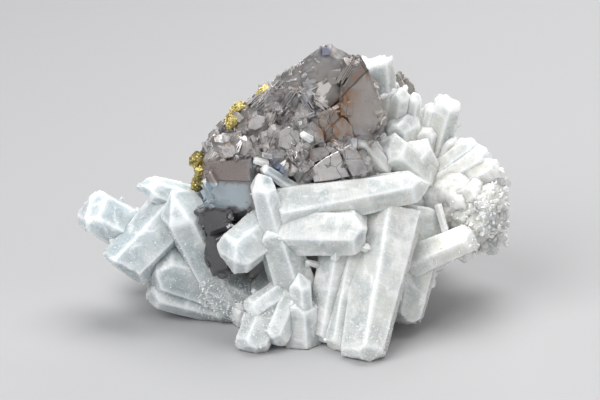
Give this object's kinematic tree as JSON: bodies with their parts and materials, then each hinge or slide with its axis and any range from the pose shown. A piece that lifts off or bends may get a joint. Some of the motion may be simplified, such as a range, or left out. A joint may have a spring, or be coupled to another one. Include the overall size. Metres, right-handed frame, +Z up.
{
  "type": "mineral specimen",
  "caption": "Grey-brown sphalerite mass with brassy chalcopyrite grains, set in a radiating cluster of milky quartz crystals on a broken quartz base.",
  "frame": {"origin": "middle of the footprint on the plane the specimen rests on", "axes": "+X to the right as displayed, +Y away from the viewer, +Z up"},
  "size_m": [0.0874, 0.054, 0.0592],
  "materials": {
    "quartz": "milky, frosted, slightly see-through at the edges",
    "sphalerite": "bright, almost metallic faces with brown edges",
    "chalcopyrite": "granular, brassy metallic"
  },
  "bodies": {
    "root": {"quartz_cluster": "quartz", "sphalerite": "sphalerite", "sphalerite_back": "sphalerite", "chalcopyrite_low": "chalcopyrite", "chalcopyrite_knob": "chalcopyrite", "chalcopyrite_middle": "chalcopyrite", "chalcopyrite_top": "chalcopyrite", "perched_quartz_white": "quartz", "perched_quartz_oval": "quartz", "perched_quartz_left": "quartz"}
  },
  "joints": []
}
